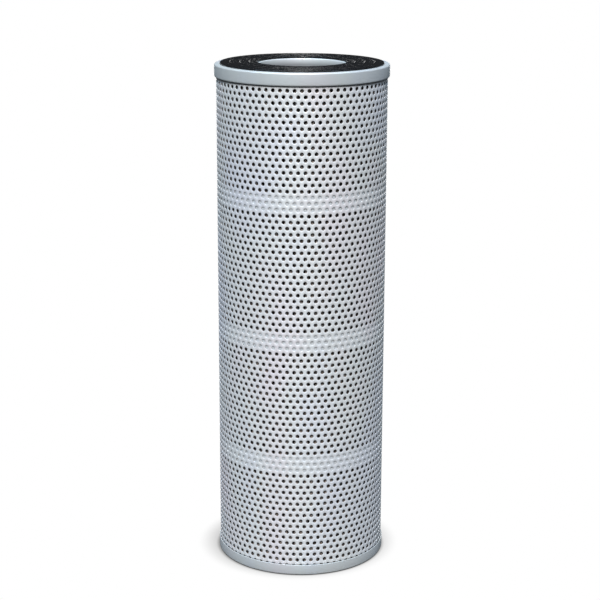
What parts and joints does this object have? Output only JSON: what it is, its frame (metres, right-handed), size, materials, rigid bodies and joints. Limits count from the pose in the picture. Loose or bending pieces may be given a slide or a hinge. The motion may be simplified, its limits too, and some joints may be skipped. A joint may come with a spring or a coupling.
{
  "type": "pleated filter element",
  "caption": "Upright round filter element: perforated metal sleeve over a pleated pack, closed foot, and a gasketed top cap with a central outlet bore.",
  "frame": {"origin": "centre of the ring on which the element stands, at its foot", "axes": "+Z along the axis of the tubes, from the closed foot to the outlet bore and its gasket"},
  "size_m": [0.1484, 0.1484, 0.436],
  "materials": {
    "perforated_sheet": "bright zinc plate",
    "core_sheet": "satin zinc plate",
    "filter_media": "matt",
    "band_strip": "matt",
    "potting_resin": "cured resin",
    "cap_sheet": "satin zinc plate",
    "gasket_rubber": "moulded"
  },
  "bodies": {
    "root": {"outer_sleeve": "perforated_sheet", "core_tube": "core_sheet", "pleated_media": "filter_media", "pleat_band_lower": "band_strip", "pleat_band_middle": "band_strip", "pleat_band_upper": "band_strip", "bottom_potting": "potting_resin", "top_potting": "potting_resin", "bottom_cap": "cap_sheet", "top_cap": "cap_sheet", "top_gasket": "gasket_rubber"}
  },
  "joints": []
}
